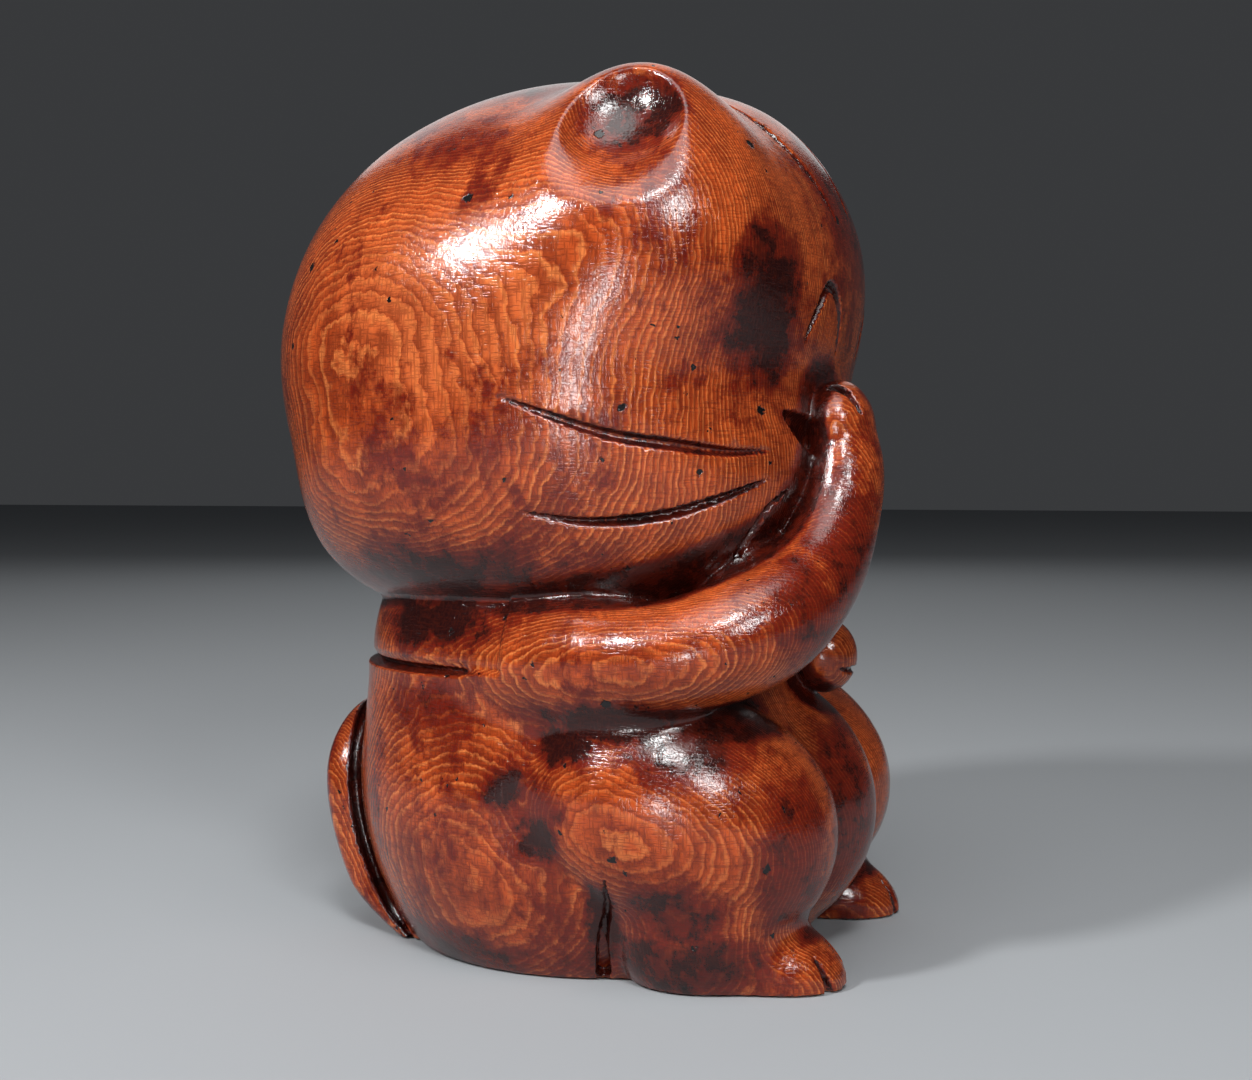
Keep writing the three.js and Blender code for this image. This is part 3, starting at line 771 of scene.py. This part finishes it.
def pits(scale, share, smallest, largest):
    """Round holes in some cells of a net: their share of the cells, and radii as shares of a cell."""
    net = nodes.new("ShaderNodeTexVoronoi")
    bent = vector_calc("SCALE", noise(place, 1.4, 2, colour=True))
    bent.node.inputs["Scale"].default_value = 1.6
    feed(net.inputs["Vector"], vector_calc("ADD", place, bent))
    feed(net.inputs["Scale"], scale)
    chosen = nodes.new("ShaderNodeSeparateColor")
    feed(chosen.inputs[0], net.outputs["Color"])
    radius = remap(chosen.outputs[0], 1 - share, 1, smallest, largest, smooth=False)
    hole = remap(calc("SUBTRACT", net.outputs["Distance"], radius), 0.02, -0.02)
    return calc("MULTIPLY", hole, calc("GREATER_THAN", chosen.outputs[0], 1 - share))


pit = calc("MAXIMUM", pits(0.15, 0.42, 0.04, 0.13), pits(0.5, 0.10, 0.08, 0.20))
print("stain, pores and pits are laid out")

# %% [markdown]
# ## Colour and varnish
# Tan wood shows through an orange-brown glaze. The side of the head is painted paler as painted light, and
# stained and shaded parts go to mahogany and nearly black maroon. Over it lies a thick clear varnish: a sharp
# coat with a faint orange-peel skin, which sinks a little with the pores and pits.

# %%
pale, tan, brown = (0.57, 0.155, 0.038), (0.41, 0.062, 0.010), (0.18, 0.020, 0.0032)
red, maroon = (0.115, 0.0065, 0.0016), (0.010, 0.0006, 0.0005)
line_strength = calc("MULTIPLY", pale_line, remap(year_shade.outputs["Value"], 0, 1, 0.25, 0.9, smooth=False))
# painted light: the side of the head under the key panel is painted paler
painted_light_on_head = cloud((-46, 13, 100), (13, 26, 24))
painted_light_tan = mix_colour(calc("MULTIPLY", painted_light_on_head, 0.7), tan, (0.54, 0.125, 0.034))
brown_share = calc("MULTIPLY", tone, calc("SUBTRACT", 0.85, calc("MULTIPLY", painted_light_on_head, 0.4)))
ground = mix_colour(brown_share, painted_light_tan, brown)
base = mix_colour(calc("MULTIPLY", late_wood, 0.6), ground, (0.14, 0.013, 0.002))
base = mix_colour(line_strength, base, pale)
# the colour of stain and painted shade: red with the ring lines
stain_and_shade_red = mix_colour(calc("MULTIPLY", line_strength, 0.6), red, (0.27, 0.040, 0.007))
base = mix_colour(remap(stain_and_shade, 0.12, 0.65), base, stain_and_shade_red)
base = mix_colour(remap(stain_and_shade, 0.6, 1.05), base, maroon)
base = mix_colour(calc("MULTIPLY", calc("SUBTRACT", 1, grain), 0.42), base, (0.05, 0.006, 0.002))
base = mix_colour(pit, base, (0.004, 0.003, 0.003))

shader = nodes.new("ShaderNodeBsdfPrincipled")
output = nodes.new("ShaderNodeOutputMaterial")
links.new(shader.outputs[0], output.inputs["Surface"])
wood_bump, coat_bump = nodes.new("ShaderNodeBump"), nodes.new("ShaderNodeBump")
relief = calc("ADD", calc("MULTIPLY", pale_line, 0.4), calc("MULTIPLY", grain, 0.5))
relief = calc("SUBTRACT", relief, calc("MULTIPLY", pit, 3))
orange_peel = noise(place, 0.7, 3, 0.6)
fine_skin = calc("MULTIPLY", noise(vector_calc("MULTIPLY", place, (1, 1, 0.5)), 3.2, 2), 0.30)
skin = calc("ADD", calc("ADD", orange_peel, fine_skin), calc("MULTIPLY", grain, 0.14))
skin = calc("SUBTRACT", skin, calc("MULTIPLY", pit, 1.2))
for bump, height, amount in ((wood_bump, relief, 0.00008), (coat_bump, skin, 0.00006)):
    bump.inputs["Strength"].default_value = 1
    bump.inputs["Distance"].default_value = amount
    feed(bump.inputs["Height"], height)
feed(shader.inputs["Base Color"], base)
feed(shader.inputs["Roughness"], 0.6)
feed(shader.inputs["Specular IOR Level"], 0.03)
feed(shader.inputs["Normal"], wood_bump.outputs[0])
feed(shader.inputs["Coat Weight"], 1.0)
feed(shader.inputs["Coat Roughness"], 0.12)
feed(shader.inputs["Coat IOR"], 1.5)
feed(shader.inputs["Coat Normal"], coat_bump.outputs[0])
cat_mesh.materials.append(wood)
print(len(nodes), "shader nodes")

# %% [markdown]
# ## Floor and sky
# A plain pale floor under the figure, and a pale sky for a little soft fill.

# %%
FLOOR_HALF = 4                                     # metres from the cat to the floor's edge
FLOOR_DROP = 0.0002                                # metres, keeps the floor just under the wood
floor_corners = np.array([[-1, -1, 0], [1, -1, 0], [1, 1, 0], [-1, 1, 0]], float) * FLOOR_HALF
floor_mesh = mesh_from("floor", floor_corners - [0, 0, FLOOR_DROP], np.array([[0, 1, 2, 3]]))
floor = bpy.data.objects.new("floor", floor_mesh)
bpy.context.scene.collection.objects.link(floor)
cloth = bpy.data.materials.new("pale_floor")
cloth.use_nodes = True
cloth.node_tree.nodes["Principled BSDF"].inputs["Base Color"].default_value = (0.29, 0.305, 0.32, 1)
cloth.node_tree.nodes["Principled BSDF"].inputs["Roughness"].default_value = 0.9
floor_mesh.materials.append(cloth)

sky = bpy.data.worlds.new("pale_sky")
sky.use_nodes = True
sky.node_tree.nodes["Background"].inputs["Color"].default_value = (0.80, 0.83, 0.88, 1)
sky.node_tree.nodes["Background"].inputs["Strength"].default_value = 0.05
bpy.context.scene.world = sky
print("floor of", 2 * FLOOR_HALF, "metres and a pale sky")

# %% [markdown]
# ## Soft panels
# They stand where the varnish of the real figure shows its broad highlights: two above the near side, one
# beyond the face, a small one level with the cheek, a wide one overhead that lays the pale sheen on the arm
# and in the ear, and a weak fill on the far side.

# %%


def panel(name, direction, distance, size, watts, target=(0, 0, 0.07)):
    light = bpy.data.lights.new(name, "AREA")
    light.shape, light.size, light.energy = "DISK", size, watts
    holder = bpy.data.objects.new(name, light)
    toward = Vector(direction).normalized()
    holder.location = Vector(target) + toward * distance
    holder.rotation_euler = (-toward).to_track_quat("-Z", "Y").to_euler()
    bpy.context.scene.collection.objects.link(holder)


# name, direction, distance in metres, diameter in metres, watts
panel("key_panel", (-0.70, 0.40, 0.59), 0.755, 0.10, 4.6)
panel("upper_panel", (-0.66, -0.26, 0.70), 0.75, 0.15, 2.4)
panel("face_panel", (-0.70, -0.57, 0.43), 0.80, 0.18, 2.4)
panel("cheek_panel", (-0.985, -0.155, -0.02), 0.65, 0.11, 0.7)
panel("overhead_panel", (-0.42, -0.06, 0.90), 0.7, 0.50, 2.4)
panel("far_fill", (0.75, 0.25, 0.60), 1.1, 1.0, 1.8)
print(len(bpy.data.lights), "soft panels")

# %% [markdown]
# ## Camera
# It stands level with the cheek, close to the cat's right side, which gives the photo's strong perspective.

# %%
FRAME_WIDTH = 1252                                 # pixels across the photo's frame
FOCAL = 1700                                       # the focal length in such pixels
RAISED = 60                                        # how far the frame lies below the level line of sight
SENSOR = 36                                        # millimetres
ANGLE = math.radians(18.7)                         # heading, from +X towards +Y
ahead = Vector((math.cos(ANGLE), math.sin(ANGLE), 0))
camera = bpy.data.objects.new("camera", bpy.data.cameras.new("camera"))
camera.location = Vector((-270.9, -91.7, 74.8)) * UNIT
camera.rotation_euler = ahead.to_track_quat("-Z", "Y").to_euler()
camera.data.sensor_width = SENSOR
camera.data.lens = SENSOR * FOCAL / FRAME_WIDTH
camera.data.shift_y = -RAISED / FRAME_WIDTH
camera.data.clip_start = 0.01
bpy.context.scene.collection.objects.link(camera)
bpy.context.scene.camera = camera
bpy.context.scene.view_settings.view_transform = "Standard"
print("camera", round(camera.location.length, 3), "metres from the middle of the underside")
